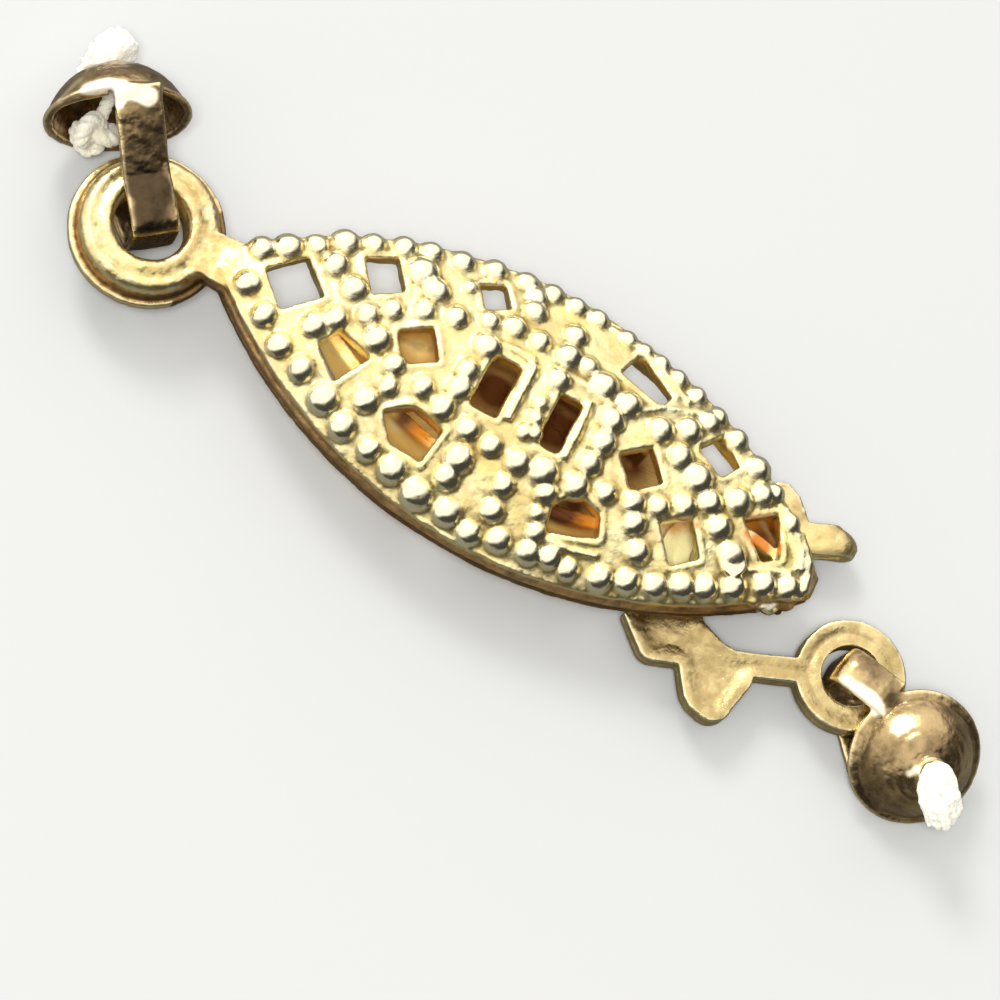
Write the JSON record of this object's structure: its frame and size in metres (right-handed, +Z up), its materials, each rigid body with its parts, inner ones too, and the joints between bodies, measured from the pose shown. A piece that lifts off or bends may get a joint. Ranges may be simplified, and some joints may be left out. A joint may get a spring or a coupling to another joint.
{
  "type": "fishhook clasp",
  "caption": "Marquise fishhook necklace clasp with a pierced, beaded plate, a flat hook caught on a pin inside it, and a thread cup strapped to an eye at each end.",
  "frame": {"origin": "middle of the whole clasp's bounding box, on the surface it lies on", "axes": "+X along the marquise from its eye to its hook, +Z up out of the plate's domed face, +Y across the plate towards the folded tip"},
  "size_m": [0.0286, 0.0084, 0.0037],
  "materials": {
    "bright_gilt": "polished pale gold plate with dark residue between the beads",
    "tray_gilt": "plain satin gold plate, deeper orange in its own shade",
    "worn_gilt": "worn and scratched satin gold plate, dull tan",
    "tarnished_gilt": "brown tarnished gold plate, lighter on edges and ridges",
    "thread": "matt twisted beading thread, knotted, with frayed ends"
  },
  "bodies": {
    "clasp_body": {"housing": "bright_gilt", "back_tray": "tray_gilt", "knot_cup_left": "tarnished_gilt", "thread_left": "thread"},
    "hook_body": {"hook": "worn_gilt", "knot_cup_right": "tarnished_gilt", "thread_right": "thread"}
  },
  "joints": [
    {"name": "hook_swivel", "type": "hinge", "parent": "clasp_body", "child": "hook_body", "pos_m": [0.00606, -0.00075, 0], "axis": [0, 0, 1], "range_deg": [-30, 25]}
  ]
}
